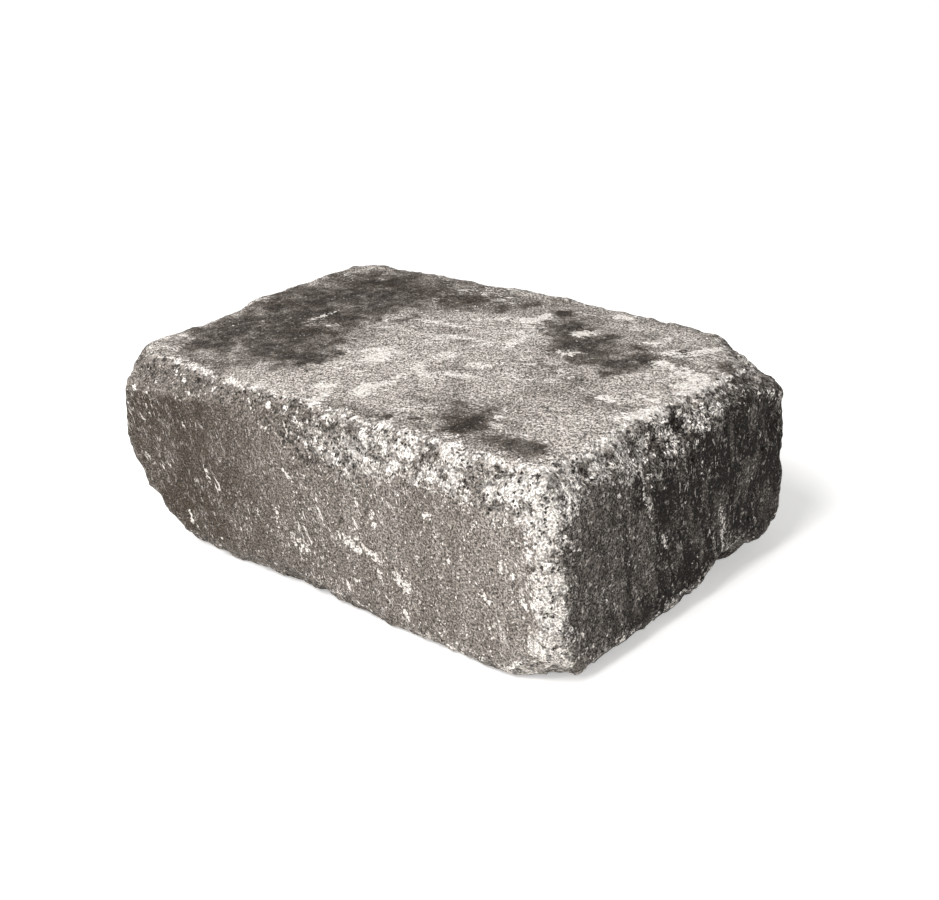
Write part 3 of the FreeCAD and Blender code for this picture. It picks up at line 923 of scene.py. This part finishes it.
class OBJECT_OT_tumbled_wall_block(bpy.types.Operator):
    """Makes the concrete block from the smooth solid, roughened and finished"""

    bl_idname = "object.tumbled_wall_block"
    bl_label = "Tumbled Wall Block"
    bl_options = {"REGISTER", "UNDO"}

    def execute(self, context):
        settings = context.scene.wall_block
        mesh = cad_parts["wall_block"].data.copy()
        mesh.name = "tumbled_wall_block"
        touching = 0.001 * MM
        merged = bmesh.new()
        merged.from_mesh(mesh)
        bmesh.ops.remove_doubles(merged, verts=merged.verts, dist=touching)
        merged.to_mesh(mesh)
        merged.free()
        mesh.materials.clear()
        block = bpy.data.objects.new("tumbled_wall_block", mesh)
        context.scene.collection.objects.link(block)

        remesh = block.modifiers.new("even_mesh", "REMESH")
        remesh.mode = "VOXEL"
        remesh.voxel_size = settings.relief.mesh_grain
        material = concrete(settings.colours)
        tree = relief_tree(material)
        relief = block.modifiers.new("relief", "NODES")
        relief.node_group = tree
        for item in tree.interface.items_tree:
            if item.in_out == "INPUT" and item.name in relief_inputs():
                relief[item.identifier] = getattr(settings.relief, item.name)

        thin = block.modifiers.new("thin_out", "DECIMATE")
        thin.ratio = KEPT_SHARE

        evaluated = block.evaluated_get(context.evaluated_depsgraph_get())
        finished = bpy.data.meshes.new_from_object(evaluated)
        finished.name = "tumbled_wall_block"
        block.modifiers.clear()
        block.data = finished
        bpy.data.meshes.remove(mesh)
        if not finished.polygons or finished.materials[0] != material:
            raise RuntimeError("the block has no faces or lost its finish")
        print("tumbled_wall_block", len(finished.vertices), "points",
              sum(len(face.vertices) - 2 for face in finished.polygons), "triangles")
        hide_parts("wall_block")
        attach(block, "root")
        return {"FINISHED"}


class SCENE_OT_wall_block_stage(bpy.types.Operator):
    """Sets out the floor, the camera and the soft light"""

    bl_idname = "scene.wall_block_stage"
    bl_label = "Wall Block Stage"
    bl_options = {"REGISTER", "UNDO"}

    def execute(self, context):
        scene = context.scene
        settings = scene.wall_block.stage
        self.camera(scene, settings)
        self.lights(scene, settings)
        half_floor = 8.0
        mesh = bpy.data.meshes.new("floor")
        signs = ((-1, -1), (1, -1), (1, 1), (-1, 1))
        corners = [(x * half_floor, y * half_floor, 0.0) for x, y in signs]
        mesh.from_pydata(corners, [], [(0, 1, 2, 3)])
        mesh.materials.append(pale_floor(scene.wall_block.colours))
        floor = bpy.data.objects.new("floor", mesh)
        scene.collection.objects.link(floor)
        scene.view_settings.view_transform = "Standard"
        return {"FINISHED"}

    def camera(self, scene, settings):
        azimuth, elevation = settings.azimuth, settings.elevation
        back = Vector((math.sin(azimuth) * math.cos(elevation),
                       -math.cos(azimuth) * math.cos(elevation), math.sin(elevation)))
        level_right = Vector((math.cos(azimuth), math.sin(azimuth), 0.0))
        level_up = back.cross(level_right)
        turn = Matrix.Rotation(settings.roll, 3, back)
        right, up = turn @ level_right, turn @ level_up
        aim = (LOW + HIGH) / 2 + right * settings.aim_right + up * settings.aim_up
        data = bpy.data.cameras.new("camera")
        data.sensor_width = SENSOR_WIDTH
        data.lens = settings.focal_pixels / IMAGE_WIDTH * SENSOR_WIDTH
        camera = bpy.data.objects.new("camera", data)
        axes = Matrix((right, up, back)).transposed()
        camera.matrix_world = Matrix.Translation(aim + back * settings.distance) @ axes.to_4x4()
        scene.collection.objects.link(camera)
        scene.camera = camera

    def lights(self, scene, settings):
        data = bpy.data.lights.new("key", "AREA")
        data.shape = "DISK"
        data.size = 0.9
        data.energy = settings.key_power
        key = bpy.data.objects.new("key", data)
        key.location = (0.08, -1.12, 1.42)
        middle = (LOW + HIGH) / 2
        key.rotation_euler = (middle - key.location).to_track_quat("-Z", "Y").to_euler()
        scene.collection.objects.link(key)
        world = bpy.data.worlds.new("studio")
        world.use_nodes = True
        tree = world.node_tree
        seen = tree.nodes.new("ShaderNodeLightPath").outputs["Is Camera Ray"]
        strength = add(tree, "ShaderNodeMapRange", {
            "Value": seen, "To Min": settings.fill_strength, "To Max": 1.0})
        background = tree.nodes["Background"]
        background.inputs["Color"].default_value = (1.0, 1.0, 1.0, 1.0)
        tree.links.new(strength, background.inputs["Strength"])
        scene.world = world


class VIEW3D_PT_wall_block(bpy.types.Panel):
    """Lists the sizes, the colours and the operators of the block"""

    bl_label = "Tumbled Wall Block"
    bl_space_type = "VIEW_3D"
    bl_region_type = "UI"
    bl_category = "Wall Block"

    def draw(self, context):
        settings = context.scene.wall_block
        for group in (settings.relief, settings.colours, settings.stage):
            box = self.layout.box()
            for name in group.__annotations__:
                box.prop(group, name)
        for operator in OPERATORS:
            self.layout.operator(operator.bl_idname)


OPERATORS = (OBJECT_OT_tumbled_wall_block, SCENE_OT_wall_block_stage)
CLASSES = (WallBlockRelief, WallBlockColours, WallBlockStage, WallBlockSettings, *OPERATORS,
           VIEW3D_PT_wall_block)


def register():
    for kind in CLASSES:
        bpy.utils.register_class(kind)
    bpy.types.Scene.wall_block = PointerProperty(type=WallBlockSettings)


def unregister():
    del bpy.types.Scene.wall_block
    for kind in reversed(CLASSES):
        bpy.utils.unregister_class(kind)


def main():
    register()
    bpy.ops.object.tumbled_wall_block()
    bpy.ops.scene.wall_block_stage()


if __name__ == "__main__":
    main()
